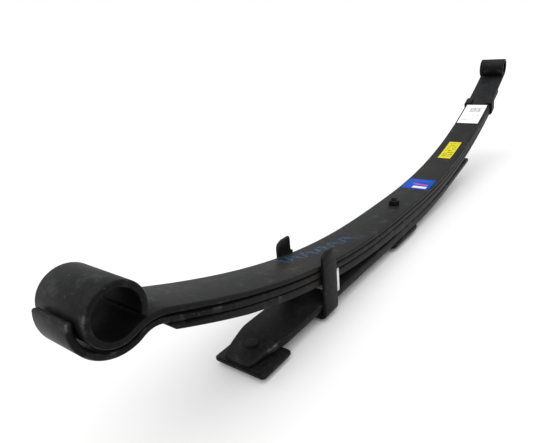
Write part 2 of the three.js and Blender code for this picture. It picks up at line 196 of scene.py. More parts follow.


# dust lies thickest on faces that look up, and these faces are also painted lighter as painted top light
# while sides are painted darker as painted shade; edge is where wear rubs the paint through and where a
# painted highlight runs along the edges
def paintColour(tree, place, edge, wear):
    blotch = tree.noise(place, paint["blotchScale"], 4.0)
    streakPlace = tree.add("ShaderNodeMapping", None, {"Vector": place, "Scale": paint["streakStretch"]})
    streak = tree.noise(streakPlace, 1.0, 4.0)
    grain = tree.noise(place, paint["scaleGrain"], 3.0)
    spread = blotch * paint["blotchShare"] + streak * paint["streakShare"] + grain * paint["grainShare"]
    dustAndTopLight = tree.ease(spread, paint["dustFrom"], paint["dustTo"])
    faceWay = tree.add("ShaderNodeTexCoord").out("Normal")
    facing = tree.add("ShaderNodeSeparateXYZ", None, {"Vector": faceWay})
    # faces that look up get more of the lighter colour, as real dust and as painted top light; sides keep
    # less of it, as painted shade
    upward = tree.ease(facing.out("Z"), paint["facingFrom"], paint["facingTo"])
    dustAndTopLight = dustAndTopLight * (paint["sideDustAndShade"] + upward * (1.0 - paint["sideDustAndShade"]))
    colour = tree.mixColour(dustAndTopLight, paint["deep"], paint["litTopDustColour"])
    warm = tree.ease(tree.noise(place, paint["warmScale"], 2.0), paint["warmFrom"], paint["warmTo"])
    colour = tree.mixColour(warm * paint["warmShare"], colour, paint["warmTint"])
    rub = tree.ease(tree.noise(place, paint["rubScale"], 5.0, 0.65), paint["rubFrom"], paint["rubTo"])
    fleck = tree.ease(tree.noise(place, paint["speckScale"], 1.0), paint["speckFrom"], paint["speckTo"])
    # edges rubbed through are painted lighter, as real wear and as a painted highlight along the edges;
    # flecks take the same colour
    mark = (edge * rub * paint["rubShare"] + fleck * paint["speckShare"]) * wear
    colour = tree.mixColour(mark.clamp(), colour, paint["wornAndHighlight"])
    return colour, dustAndTopLight, grain, mark


def paintedFinish(name, wear=1.0, addMarks=None):
    material, tree, shader = newFinish(name)
    place = tree.add("ShaderNodeTexCoord").out("Object")
    edge = tree.add("ShaderNodeAttribute", {"attribute_name": "edgeWear"}).out("Fac")
    colour, dustAndTopLight, grain, mark = paintColour(tree, place, edge, wear)
    rough = paint["roughLow"] + dustAndTopLight * (paint["roughHigh"] - paint["roughLow"]) + mark * paint["wornRough"]
    peel = tree.noise(place, paint["peelGrain"], 2.0)
    height = grain * 0.7 + peel * 0.3
    if addMarks:
        colour, rough = addMarks(tree, colour, rough)
    dress(tree, shader, colour, rough, height, paint["bumpDepth"], paint["bumpStrength"])
    shader.inputs["Specular IOR Level"].default_value = paint["specular"]
    return material


# blue strokes put on the main leaf by hand: slanting bars in a row that drifts across the leaf
strokes = {
    "start": -0.312, "end": -0.160,
    "acrossStart": 0.0175, "acrossEnd": -0.0035,
    "height": 0.0180, "pitch": 0.0135, "width": 0.0046, "slant": 0.45,
    "wobble": 0.006, "wobbleScale": 110.0, "barWobble": 0.6,
    "linkStep": 0.004, "linkWidth": 0.36, "linkLength": 0.34,
    "thinScale": 300.0, "thinFrom": 0.32, "thinTo": 0.55,
    "colour": (0.011, 0.045, 0.088, 1), "gloss": 0.08,
    "topSkin": -0.0006,
}


def strokeMarks(tree, colour, rough):
    spot = tree.add("ShaderNodeAttribute", {"attribute_name": "onBar"}).out("Vector")
    parts = tree.add("ShaderNodeSeparateXYZ", None, {"Vector": spot})
    along, across, up = parts.out("X"), parts.out("Y"), parts.out("Z")
    wobble = (tree.noise(spot, strokes["wobbleScale"], 2.0) - 0.5) * strokes["wobble"]
    share = (along - strokes["start"]) / (strokes["end"] - strokes["start"])
    middle = strokes["acrossStart"] + share * (strokes["acrossEnd"] - strokes["acrossStart"])
    rise = across - middle + wobble
    inRow = rise.math("ABSOLUTE") < strokes["height"] / 2
    inLength = (share > 0.0) * (share < 1.0)
    cell = (along - strokes["start"]) / strokes["pitch"]
    number = cell.math("FLOOR")
    odd = number.math("MODULO", 2.0)
    lean = (odd * 2.0 - 1.0) * strokes["slant"]
    inCell = (cell - number - 0.5) * strokes["pitch"] + wobble * strokes["barWobble"]
    slanted = (inCell - rise * lean).math("ABSOLUTE") < strokes["width"] / 2
    linkRise = rise + odd * strokes["linkStep"] - strokes["linkStep"] / 2
    link = linkRise.math("ABSOLUTE") < strokes["width"] * strokes["linkWidth"]
    link = link * (inCell.math("ABSOLUTE") < strokes["pitch"] * strokes["linkLength"])
    thin = tree.ease(tree.noise(spot, strokes["thinScale"], 3.0), strokes["thinFrom"], strokes["thinTo"])
    onTop = up > strokes["topSkin"]
    mask = slanted.math("MAXIMUM", link) * inRow * inLength * onTop * thin
    colour = tree.mixColour(mask, colour, strokes["colour"])
    # the leaf's top skin lines both eyes, where no dust lies and no light reaches; it is painted near black
    # there as painted shade
    eyeShadeMask = (along < paint["boreStart"]).math("MAXIMUM", along > paint["rearBoreStart"]) * onTop
    rough = rough - mask * strokes["gloss"] + eyeShadeMask * paint["boreRough"]
    return tree.mixColour(eyeShadeMask, colour, paint["bore"]), rough


zinc = {
    "light": (0.80, 0.81, 0.83, 1), "dull": (0.50, 0.51, 0.53, 1), "cloudScale": 90.0,
    "brushStretch": (900.0, 900.0, 60.0), "rough": 0.28, "roughSpread": 0.2, "metallic": 0.75,
    "bumpDepth": 0.0001, "bumpStrength": 0.4,
}


def zincFinish():
    material, tree, shader = newFinish("zincPlate")
    place = tree.add("ShaderNodeTexCoord").out("Object")
    cloud = tree.noise(place, zinc["cloudScale"], 4.0)
    brushPlace = tree.add("ShaderNodeMapping", None, {"Vector": place, "Scale": zinc["brushStretch"]})
    brushed = tree.noise(brushPlace, 1.0, 2.0)
    colour = tree.mixColour(tree.ease(cloud, 0.35, 0.7), zinc["light"], zinc["dull"])
    rough = zinc["rough"] + brushed * zinc["roughSpread"]
    dress(tree, shader, colour, rough, brushed, zinc["bumpDepth"], zinc["bumpStrength"])
    shader.inputs["Metallic"].default_value = zinc["metallic"]
    return material


plainLooks = {
    "shimSteel": {
        "light": (0.10, 0.10, 0.105, 1), "dark": (0.05, 0.05, 0.052, 1),
        "rough": 0.4, "roughSpread": 0.15, "metallic": 0.8, "grain": 140.0,
        "bumpDepth": 0.0001, "bumpStrength": 0.5,
    },
    "padPlastic": {
        "light": (0.03, 0.03, 0.031, 1), "dark": (0.018, 0.018, 0.018, 1),
        "rough": 0.6, "roughSpread": 0.15, "metallic": 0.0, "grain": 200.0,
        "bumpDepth": 0.0001, "bumpStrength": 0.5,
    },
}


def plainFinish(name, look):
    material, tree, shader = newFinish(name)
    place = tree.add("ShaderNodeTexCoord").out("Object")
    cloud = tree.noise(place, look["grain"], 4.0)
    colour = tree.mixColour(tree.ease(cloud, 0.35, 0.68), look["light"], look["dark"])
    rough = look["rough"] + cloud * look["roughSpread"]
    dress(tree, shader, colour, rough, cloud, look["bumpDepth"], look["bumpStrength"])
    shader.inputs["Metallic"].default_value = look["metallic"]
    return material


film = {
    "grimeScale": 60.0, "grimeShare": 0.25, "wordStretch": 60.0, "wordGap": 0.46,
    "rough": 0.4, "roughSpread": 0.2, "specular": 0.04,
    "creaseScale": 240.0, "bumpDepth": 0.0001, "bumpStrength": 0.35,
}


# printed films; a label's pattern is laid out in shares of its length and width
def labelFinish(name, layout):
    material, tree, shader = newFinish(name)
    spot = tree.add("ShaderNodeAttribute", {"attribute_name": "onBar"}).out("Vector")
    parts = tree.add("ShaderNodeSeparateXYZ", None, {"Vector": spot})
    long = (parts.out("X") - layout["start"] * mm) / (layout["length"] * mm)
    wide = (parts.out("Y") - layout["low"] * mm) / ((layout["high"] - layout["low"]) * mm)
    grime = tree.noise(spot, film["grimeScale"], 4.0)
    soiled = tree.ease(grime, 0.45, 0.8) * film["grimeShare"]
    colour = tree.mixColour(soiled, layout["ground"], layout["grime"])
    for box in layout["boxes"]:
        inside = (long > box["long"][0]) * (long < box["long"][1])
        inside = inside * (wide > box["wide"][0]) * (wide < box["wide"][1])
        if "lines" in box:
            row = (long * box["lines"]).math("FRACT")
            inside = inside * (row < box["fill"])
        if "words" in box:
            stretch = (film["wordStretch"], box["words"], 0.0)
            gap = tree.noise(tree.vector("MULTIPLY", spot, stretch), 1.0, 1.0)
            inside = inside * (gap > film["wordGap"])
        colour = tree.mixColour(inside, colour, box["colour"])
    if "swoosh" in layout:
        mark = layout["swoosh"]
        lift = (wide - mark["middle"]) * mark["bend"]
        offset = long - mark["place"] - lift * lift
        band = (offset.math("ABSOLUTE") < mark["half"]) * (wide > mark["from"]) * (wide < mark["to"])
        colour = tree.mixColour(band, colour, mark["colour"])
    rough = film["rough"] + grime * film["roughSpread"]
    crease = tree.noise(spot, film["creaseScale"], 2.0)
    dress(tree, shader, colour, rough, crease, film["bumpDepth"], film["bumpStrength"])
    shader.inputs["Specular IOR Level"].default_value = film["specular"]
    return material


greyInk = (0.30, 0.30, 0.31, 1)
# start and length run along the main leaf, low and high across it, in millimetres
labelLayouts = {
    "label_blue": {
        "start": 93, "length": 54, "low": -26, "high": 26,
        "ground": (0.001, 0.050, 0.34, 1), "grime": (0.005, 0.04, 0.20, 1),
        "boxes": [
            {"long": (0.10, 0.30), "wide": (0.10, 0.62), "colour": (0.50, 0.52, 0.56, 1)},
            {"long": (0.80, 0.85), "wide": (0.12, 0.80), "colour": (0.03, 0.10, 0.42, 1)},
        ],
        "swoosh": {
            "place": 0.46, "bend": 0.55, "middle": 0.2, "half": 0.05, "from": 0.12, "to": 0.7,
            "colour": (0.45, 0.05, 0.16, 1),
        },
    },
    "label_yellow": {
        "start": 271, "length": 87, "low": -14.5, "high": 12.5,
        "ground": (0.50, 0.45, 0.004, 1), "grime": (0.42, 0.36, 0.015, 1),
        "boxes": [
            {"long": (0.10, 0.92), "wide": (0.12, 0.88), "lines": 9, "fill": 0.45, "words": 320,
             "colour": (0.16, 0.13, 0.03, 1)},
            {"long": (0.02, 0.98), "wide": (0.03, 0.07), "colour": (0.56, 0.50, 0.10, 1)},
            {"long": (0.02, 0.98), "wide": (0.93, 0.97), "colour": (0.56, 0.50, 0.10, 1)},
        ],
    },
    "label_white": {
        "start": 458, "length": 92, "low": -24, "high": 26,
        "ground": (0.66, 0.66, 0.66, 1), "grime": (0.52, 0.52, 0.51, 1),
        "boxes": [
            {"long": (0.12, 0.46), "wide": (0.10, 0.88), "lines": 12, "fill": 0.35, "words": 260,
             "colour": greyInk},
            {"long": (0.60, 0.86), "wide": (0.14, 0.70), "words": 900, "colour": greyInk},
        ],
    },
}

finishes = {
    "leafPaint": paintedFinish("leafPaint"),
    "mainLeafPaint": paintedFinish("mainLeafPaint", addMarks=strokeMarks),
    "fittingPaint": paintedFinish("fittingPaint", 0.7),
    "zincPlate": zincFinish(),
}
for lookName, look in plainLooks.items():
    finishes[lookName] = plainFinish(lookName, look)
for labelName, labelLayout in labelLayouts.items():
    finishes[labelName] = labelFinish(labelName, labelLayout)
print("finishes made,", len(finishes))


# the arch, in millimetres from the main leaf's top at the bolt; on each side its slope in degrees
# climbs towards the limit and reaches half of it at the span
arch = {
    "front": {"limit": 43.2, "span": 499, "power": 2},
    "rear": {"limit": 62.75, "span": 832, "power": 1.5},
    "frontArm": 510,
    "rearArm": 708,
    "step": 8,
    "sumStep": 2,
    "eyeStep": 5,
}
eyes = {
    "front": {"bore": 18.5, "shoulder": 45, "rise": 0, "tip": 189},
    "rear": {"bore": 16, "shoulder": 0, "rise": 16, "tip": 221},
}
leafWidth = 60
across = Vector((0, 1, 0))


def slopeAt(side, length):
    rule = arch[side]
    share = length ** rule["power"]
    return math.radians(rule["limit"] * share / (rule["span"] ** rule["power"] + share))


# a stop on the main leaf's top: where it is, the way up from it and the way out to the nearer eye
def archStop(s):
    side = "front" if s < 0 else "rear"
    sign = -1 if s < 0 else 1
    count = max(1, math.ceil(abs(s) / arch["sumStep"]))
    step = abs(s) / count
    x = z = 0.0
    for i in range(count):
        slope = slopeAt(side, (i + 0.5) * step)
        x += math.cos(slope) * step
        z += math.sin(slope) * step
    slope = slopeAt(side, abs(s))
    up = Vector((-sign * math.sin(slope), 0, math.cos(slope)))
    out = Vector((sign * math.cos(slope), 0, math.sin(slope)))
    return {"s": s, "point": Vector((sign * x, 0, z)), "up": up, "out": out}


def archStops(low, high, step=None):
    count = max(2, math.ceil((high - low) / (step or arch["step"])))
    return [archStop(low + (high - low) * i / count) for i in range(count + 1)]


# from the arm's last stop over a shoulder into the loop around the bore, up to the end angle in degrees
def eyeStops(arm, eye, endAngle):
    reach = math.sqrt((eye["bore"] + eye["shoulder"]) ** 2 - (eye["shoulder"] + eye["rise"]) ** 2)
    turn = math.acos((eye["shoulder"] + eye["rise"]) / (eye["shoulder"] + eye["bore"]))
    centre = arm["point"] + arm["out"] * reach + arm["up"] * eye["rise"]
    pivot = arm["point"] - arm["up"] * eye["shoulder"]
    step = math.radians(arch["eyeStep"])
    sign = 1 if arm["s"] > 0 else -1
    stops = []
    length = abs(arm["s"])
    count = math.ceil(turn / step)
    for i in range(1, count):
        angle = turn * i / count
        up = arm["up"] * math.cos(angle) + arm["out"] * math.sin(angle)
        place = {"s": sign * (length + eye["shoulder"] * angle), "up": up}
        place["point"] = pivot + up * eye["shoulder"]
        stops.append(place)
    length += eye["shoulder"] * turn
    start = -math.pi / 2 - turn
    sweep = math.radians(endAngle) - start
    count = math.ceil(sweep / step)
    for i in range(0 if eye["shoulder"] else 1, count + 1):
        angle = start + sweep * i / count
        spoke = arm["out"] * math.cos(angle) + arm["up"] * math.sin(angle)
        place = {"s": sign * (length + eye["bore"] * sweep * i / count), "up": -spoke}
        place["point"] = centre + spoke * eye["bore"]
        stops.append(place)
    return stops


endRound = {"rings": 3, "deepest": 2.001, "lastEdge": 0.02}


# rounds off both ends of a row of stops: rings drawn in along the row, then one point in the middle
def roundedEnds(stops):
    def cap(end, inner):
        rings = endRound["rings"]
        radius = min(end["edge"], (end["high"] - end["low"]) / endRound["deepest"], end["half"])
        direction = (end["point"] - inner["point"]).normalized()
        caps = []
        for i in range(1, rings + 1):
            angle = math.pi / 2 * i / rings
            inset = radius * (1 - math.cos(angle))
            back = radius * (1 - math.sin(angle))
            ring = dict(end)
            ring["point"] = end["point"] - direction * back
            ring["half"] = end["half"] - inset
            ring["high"] = end["high"] - inset
            ring["low"] = end["low"] + inset
            ring["edge"] = max(radius - inset, radius * endRound["lastEdge"])
            caps.append(ring)
        body = dict(end)
        body["point"] = end["point"] - direction * radius
        middle = (end["high"] + end["low"]) / 2
        point = dict(end)
        point.update({"half": 0.0, "high": middle, "low": middle, "edge": 0.0})
        return [body] + caps + [point]
    front = cap(stops[0], stops[1])[::-1]
    rear = cap(stops[-1], stops[-2])
    return front + stops[1:-1] + rear


# a row of points that carries each stop's directions and section sizes as attributes
def pathObject(name, stops):
    mesh = bpy.data.meshes.new(name + "Path")
    base = Vector((0, 0, topLevel))
    points = [stop["point"] * mm + base for stop in stops]
    mesh.from_pydata(points, [(i, i + 1) for i in range(len(points) - 1)], [])
    for key in ("up", "across"):
        values = [component for stop in stops for component in stop.get(key, across)]
        mesh.attributes.new(key, "FLOAT_VECTOR", "POINT").data.foreach_set("vector", values)
    for key in ("half", "high", "low", "edge", "s"):
        values = [stop[key] * mm for stop in stops]
        mesh.attributes.new(key, "FLOAT", "POINT").data.foreach_set("value", values)
    piece = bpy.data.objects.new(name, mesh)
    bpy.context.scene.collection.objects.link(piece)
    return piece


weldDistance = 2e-6  # metres
sliverDistance = 1e-7


# the tree that lays a rounded section on every stop and skins the row
def sweptBarTree():
    group = bpy.data.node_groups.new("sweptBar", "GeometryNodeTree")
    interface = group.interface
    interface.new_socket("Geometry", in_out="INPUT", socket_type="NodeSocketGeometry")
    interface.new_socket("Corner Points", in_out="INPUT", socket_type="NodeSocketInt")
    interface.new_socket("Finish", in_out="INPUT", socket_type="NodeSocketMaterial")
    interface.new_socket("Geometry", in_out="OUTPUT", socket_type="NodeSocketGeometry")
    tree = Tree(group)
    given = tree.add("NodeGroupInput")
    path = given.out("Geometry")
    around = given.out("Corner Points") * 4.0
    count = tree.add("GeometryNodeAttributeDomainSize", {"component": "MESH"}, {"Geometry": path})
    columns = around + 1.0
    sheet = tree.add("GeometryNodeMeshGrid", None, {"Vertices X": count, "Vertices Y": columns})
    index = tree.add("GeometryNodeInputIndex")
    row = ((index + 0.5) / columns).math("FLOOR")
    column = index - row * columns

    def sampled(name, kind):
        read = tree.add("GeometryNodeInputNamedAttribute", {"data_type": kind}, {"Name": name})
        sockets = {"Geometry": path, "Value": read, "Index": row}
        return tree.add("GeometryNodeSampleIndex", {"data_type": kind}, sockets)

    place = tree.add("GeometryNodeInputPosition")
    point = tree.add("GeometryNodeSampleIndex", {"data_type": "FLOAT_VECTOR"},
                     {"Geometry": path, "Value": place, "Index": row})
    upWay = sampled("up", "FLOAT_VECTOR")
    acrossWay = sampled("across", "FLOAT_VECTOR")
    half = sampled("half", "FLOAT")
    high = sampled("high", "FLOAT")
    low = sampled("low", "FLOAT")
    edge = sampled("edge", "FLOAT")
    along = sampled("s", "FLOAT")
    angle = (column + 0.5) / around * math.tau
    cosine = angle.math("COSINE")
    sine = angle.math("SINE")
    tall = (high - low) * 0.5
    sideways = cosine.math("SIGN") * (half - edge) + cosine * edge
    upward = (high + low) * 0.5 + sine.math("SIGN") * (tall - edge) + sine * edge
    offset = tree.vector("ADD", tree.scaled(acrossWay, sideways), tree.scaled(upWay, upward))
    placed = tree.add("GeometryNodeSetPosition", None,
                      {"Geometry": sheet, "Position": tree.vector("ADD", point, offset)})
    spot = tree.add("ShaderNodeCombineXYZ", None, {"X": along, "Y": sideways, "Z": upward})
    stored = tree.add("GeometryNodeStoreNamedAttribute", {"data_type": "FLOAT_VECTOR", "domain": "POINT"},
                      {"Geometry": placed, "Name": "onBar", "Value": spot})
    # how near a section corner each point lies: where wear rubs through and where the painted edge highlight
    # goes
    rub = (angle * 2.0).math("SINE").math("ABSOLUTE")
    stored = tree.add("GeometryNodeStoreNamedAttribute", {"data_type": "FLOAT", "domain": "POINT"},
                      {"Geometry": stored, "Name": "edgeWear", "Value": rub})
    closed = tree.add("GeometryNodeMergeByDistance", None, {"Geometry": stored, "Distance": weldDistance})
    smooth = tree.add("GeometryNodeSetShadeSmooth", None, {"Geometry": closed})
    real = tree.add("GeometryNodeRealizeInstances", None, {"Geometry": smooth})
    dressed = tree.add("GeometryNodeSetMaterial", None, {"Geometry": real, "Material": given.out("Finish")})
    tree.add("NodeGroupOutput", None, {"Geometry": dressed})
    return group


sweptBar = sweptBarTree()
sweptSockets = sweptBar.interface.items_tree
sweptInputs = {socket.name: socket.identifier for socket in sweptSockets if socket.in_out == "INPUT"}


# turns the object's evaluated result into a plain mesh, with its faces out
def settle(piece, name):
    graph = bpy.context.evaluated_depsgraph_get()
    mesh = bpy.data.meshes.new_from_object(piece.evaluated_get(graph))
    piece.modifiers.clear()
    piece.data = mesh
    mesh.name = name
    shell = bmesh.new()
    shell.from_mesh(mesh)
    bmesh.ops.dissolve_degenerate(shell, dist=sliverDistance, edges=shell.edges)
    bmesh.ops.recalc_face_normals(shell, faces=shell.faces)
    shell.to_mesh(mesh)
    shell.free()
    return piece


# rides the body and stands in for its nodes
def finished(piece, slot, *nodes):
    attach(piece, "root")
    if nodes:
        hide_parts(*nodes)
    return piece


# corner is the number of points round each corner of the section
def sweep(name, stops, finish, slot, *nodes, corner=5):
    piece = pathObject(name, roundedEnds(stops))
    modifier = piece.modifiers.new("bar", "NODES")
    modifier.node_group = sweptBar
    modifier[sweptInputs["Corner Points"]] = corner
    modifier[sweptInputs["Finish"]] = finishes[finish]
    settle(piece, name)
    return finished(piece, slot, *nodes)


leaves = {
    "mainThickness": 6,
    "secondThickness": 7.8,
    "thirdMid": 13, "thirdEnd": 8, "thirdTip": 3.4,
    "gap": 1.4,
    "edge": 1.8, "edgeLimit": 2.05,
    "wrapAngle": -5, "wrapShoulder": 35, "wrapRise": -1.5,
    "wrapTipWidth": 42, "wrapTaperStart": -430, "wrapTaperEnd": -575,
    "thinStart": -270, "thinning": 2.2, "secondRear": 640,
    "thirdFront": 502, "thirdRear": 590, "thirdBevel": 90, "thirdTaper": 400,
}
secondDepth = leaves["mainThickness"] + leaves["gap"]
thirdDepth = secondDepth + leaves["secondThickness"] + leaves["gap"]


# gives every stop its section; high and low are levels over the arch, or rules of the length
def bar(stops, high, low, half=leafWidth / 2, edge=None):
    for stop in stops:
        stop["half"] = half
        stop["high"] = high(stop["s"]) if callable(high) else high
        stop["low"] = low(stop["s"]) if callable(low) else low
        stop["edge"] = min(edge or leaves["edge"], (stop["high"] - stop["low"]) / leaves["edgeLimit"])
    return stops


def mainStops():
    front = eyeStops(archStop(-arch["frontArm"]), eyes["front"], eyes["front"]["tip"])
    rear = eyeStops(archStop(arch["rearArm"]), eyes["rear"], eyes["rear"]["tip"])
    middle = archStops(-arch["frontArm"], arch["rearArm"])
    return front[::-1] + middle + rear


def secondTop(s):
    share = (leaves["thinStart"] - s) / (leaves["thinStart"] + arch["frontArm"])
    return -secondDepth - leaves["thinning"] * min(1, max(0, share))


# the second leaf narrows towards its wrapped tip, by its place along x
def secondStops():
    wrapEye = dict(eyes["front"], shoulder=leaves["wrapShoulder"], rise=leaves["wrapRise"])
    wrap = eyeStops(archStop(-arch["frontArm"]), wrapEye, leaves["wrapAngle"])
    stops = wrap[::-1] + archStops(-arch["frontArm"], leaves["secondRear"])
    bar(stops, secondTop, -secondDepth - leaves["secondThickness"])
    slant = (leafWidth - leaves["wrapTipWidth"]) / 2 / (leaves["wrapTaperStart"] - leaves["wrapTaperEnd"])
    for stop in stops:
        middle = stop["point"] + stop["up"] * (stop["high"] + stop["low"]) / 2
        stop["half"] -= slant * max(0, leaves["wrapTaperStart"] - middle.x)
    return stops


def thirdThickness(s):
    share = min(1, abs(s) / leaves["thirdTaper"])
    plain = leaves["thirdMid"] + (leaves["thirdEnd"] - leaves["thirdMid"]) * share
    bevel = max(0, (-s - leaves["thirdFront"] + leaves["thirdBevel"]) / leaves["thirdBevel"])
    return plain + (leaves["thirdTip"] - plain) * bevel


sweep("mainLeaf", bar(mainStops(), 0, -leaves["mainThickness"]), "mainLeafPaint", "black_paint",
      "main_leaf")
sweep("secondLeaf", secondStops(), "leafPaint", "black_paint", "second_leaf")
sweep("thirdLeaf", bar(archStops(-leaves["thirdFront"], leaves["thirdRear"]), -thirdDepth,
                       lambda s: -thirdDepth - thirdThickness(s)),
      "leafPaint", "black_paint", "third_leaf")
print("leaves swept")

overload = {
    "mid": 14.3, "end": 9, "tip": 6, "front": 412, "drop": 1.5, "tipLength": 44, "tipDrop": 9.6,
    "seat": 60, "bend": 220, "straight": 145, "taper": 44, "tipWidth": 38,
    "tipShift": 4, "edge": 3, "frontSteps": 60, "rearSteps": 8,
}
overloadDepth = thirdDepth + leaves["thirdMid"] + leaves["gap"]


# shares of the straight front half and of the bent tip that lie before x
def overloadShares(x):
    bendStart = overload["tipLength"] - overload["front"]
    along = (-overload["seat"] - x) / (-overload["seat"] - bendStart)
    past = (bendStart - x) / overload["tipLength"]
    return min(1, max(0, along)), min(1, max(0, past))


def overloadTop(x):
    along, past = overloadShares(x)
    return -overloadDepth - overload["drop"] * along - overload["tipDrop"] * past ** 1.5


def overloadThickness(s):
    if s < 0:
        along, past = overloadShares(s)
        plain = overload["mid"] + (overload["end"] - overload["mid"]) * along
        return plain + (overload["tip"] - plain) * past
    share = (s - overload["seat"]) / (overload["bend"] + overload["straight"] - overload["seat"])
    return overload["mid"] + (overload["end"] - overload["mid"]) * min(1, max(0, share))


def overloadStops():
    stops = []
    upright = Vector((0, 0, 1))
    count = overload["frontSteps"]
    for i in range(count + 1):
        x = -overload["front"] + (overload["front"] - overload["seat"]) * i / count
        stops.append({"s": x, "point": Vector((x, 0, overloadTop(x))), "up": upright})
    for stop in archStops(0, overload["bend"]):
        stop["point"] = stop["point"] - stop["up"] * overloadDepth
        stops.append(stop)
    bend = stops[-1]
    for i in range(1, overload["rearSteps"] + 1):
        far = overload["straight"] * i / overload["rearSteps"]
        point = bend["point"] + bend["out"] * far
        stops.append({"s": overload["bend"] + far, "point": point, "up": bend["up"]})
    for stop in stops:
        stop["high"] = 0
        stop["low"] = -overloadThickness(stop["s"])
        past = max(0, (-stop["s"] - overload["front"] + overload["taper"]) / overload["taper"])
        stop["half"] = leafWidth / 2 + (overload["tipWidth"] - leafWidth) / 2 * past
        stop["point"] = stop["point"] + across * overload["tipShift"] * past
        stop["edge"] = min(overload["edge"], -stop["low"] / leaves["edgeLimit"])
    return stops


sweep("overloadLeaf", overloadStops(), "leafPaint", "black_paint", "overload_leaf", corner=7)
print("overload leaf swept")


plates = {
    "pad": {"corner": 4, "edge": 1.1},
    "centrePlate": {"corner": 12, "edge": 1.6},
    "cornerRings": 6,
}


# flat plates with rounded plan corners, swept along x
def plateStops(node, plate):
    low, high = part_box(node)
    corner = plate["corner"]
    x0, x1 = low.x / mm, high.x / mm
    bottom, top = (low.z - topLevel) / mm, (high.z - topLevel) / mm
    half = (high.y - low.y) / 2 / mm
    rings = plates["cornerRings"]
    front = [corner * (1 - math.cos(math.pi / 2 * i / rings)) for i in range(rings + 1)]
    places = [x0 + f for f in front] + [x1 - f for f in reversed(front)]
    stops = []
    for x in places:
        inside = corner - min(x - x0, x1 - x, corner)
        draw = corner - math.sqrt(max(0, corner ** 2 - inside ** 2))
        stops.append({"s": x, "point": Vector((x, 0, 0)), "up": Vector((0, 0, 1)), "half": half - draw,
                      "high": top, "low": bottom, "edge": plate["edge"]})
    return stops


sweep("overloadPad", plateStops("overload_pad", plates["pad"]), "fittingPaint", "black_paint",
      "overload_pad")
sweep("centrePlate", plateStops("centre_plate", plates["centrePlate"]), "fittingPaint", "black_paint",
      "centre_plate")
print("plates laid")


# a clip is a strap whose path runs across the leaves; this adds a bend to the path, and its start and
# sweep are in degrees from +Y towards +Z
def bendRound(points, centre, radius, start, sweep, count=8):
    for i in range(count + 1):
        angle = math.radians(start + sweep * i / count)
        outward = Vector((0, math.cos(angle), math.sin(angle)))
        points.append({"point": centre + outward * radius, "up": -outward})


frontClip = {
    "thickness": 4.5, "edge": 0.9, "bend": 9, "nearEar": 19, "earStep": 4.5, "earStepHeight": 4,
    "earCorner": 10, "earRows": 28,
}


def frontClipStops():
    low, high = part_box("front_clip")
    x0, x1 = low.x / mm, high.x / mm
    wall = frontClip["thickness"]
    outer = high.y / mm
    bottom = (low.z - topLevel) / mm
    mid = outer - wall / 2
    radius = frontClip["bend"] - wall / 2
    near = archStop((x0 + x1) / 2)["point"].z + frontClip["nearEar"]
    far = (high.z - topLevel) / mm
    shoulder = archStop(x1)["point"].z + frontClip["earStepHeight"]
    base = Vector((0, 0, bottom + frontClip["bend"]))
    rows = frontClip["earRows"]
    points = []
    for i in range(rows):
        z = near + (base.z - near) * i / rows
        points.append({"point": Vector((0, -mid, z)), "up": Vector((0, 1, 0))})
    bendRound(points, base + Vector((0, -outer + frontClip["bend"], 0)), radius, 180, 90)
    bendRound(points, base + Vector((0, outer - frontClip["bend"], 0)), radius, 270, 90)
    for i in range(1, rows + 1):
        z = base.z + (far - base.z) * i / rows
        points.append({"point": Vector((0, mid, z)), "up": Vector((0, -1, 0))})
    corner = frontClip["earCorner"]
    for stop in points:
        z = stop["point"].z
        top = near if stop["point"].y < 0 else far
        rear = x1 - frontClip["earStep"] if z > shoulder else x1
        inside = max(0, z - (top - corner))
        front = x0 + corner - math.sqrt(max(0, corner ** 2 - inside ** 2))
        stop["point"] = stop["point"] + Vector(((front + rear) / 2, 0, 0))
        stop["half"] = (rear - front) / 2
        stop["across"] = Vector((1, 0, 0))
        stop["high"], stop["low"], stop["edge"], stop["s"] = wall / 2, -wall / 2, frontClip["edge"], z
    return points


sweep("frontClip", frontClipStops(), "fittingPaint", "black_paint", "front_clip", corner=4)

rearClip = {
    "place": 565, "width": 25, "thickness": 4, "edge": 0.9, "bend": 7, "topBend": 0.8, "fold": 17, "gap": 0.5,
}


def rearClipStops():
    here = archStop(rearClip["place"])
    wall = rearClip["thickness"]
    outer = leafWidth / 2 + rearClip["gap"] + wall
    bottom = -(thirdDepth + thirdThickness(rearClip["place"]) + rearClip["gap"]) - wall
    top = rearClip["gap"] + wall
    radius = rearClip["bend"] - wall / 2
    tight = wall / 2 + rearClip["topBend"]
    down = Vector((0, 0, -1))
    level = top - wall / 2
    corner = outer - wall / 2 - tight
    lift = Vector((0, 0, bottom + rearClip["bend"]))
    points = [{"point": Vector((0, rearClip["fold"] - outer, level)), "up": down}]
    bendRound(points, Vector((0, -corner, level - tight)), tight, 90, 90, 5)
    bendRound(points, lift + Vector((0, rearClip["bend"] - outer, 0)), radius, 180, 90)
    bendRound(points, lift + Vector((0, outer - rearClip["bend"], 0)), radius, 270, 90)
    bendRound(points, Vector((0, corner, level - tight)), tight, 0, 90, 5)
    points.append({"point": Vector((0, outer - rearClip["fold"], level)), "up": down})
    for stop in points:
        local = stop["point"]
        stop["point"] = here["point"] + here["up"] * local.z + Vector((0, local.y, 0))
        stop["up"] = here["up"] * stop["up"].z + Vector((0, stop["up"].y, 0))
        stop["across"] = here["out"]
        stop["half"] = rearClip["width"] / 2
        stop["high"], stop["low"], stop["s"] = wall / 2, -wall / 2, local.y
        stop["edge"] = rearClip["edge"]
    return points


sweep("rearClip", rearClipStops(), "fittingPaint", "black_paint", "rear_clip", corner=4)
print("clips bent")


sharpAngle = 38  # degrees


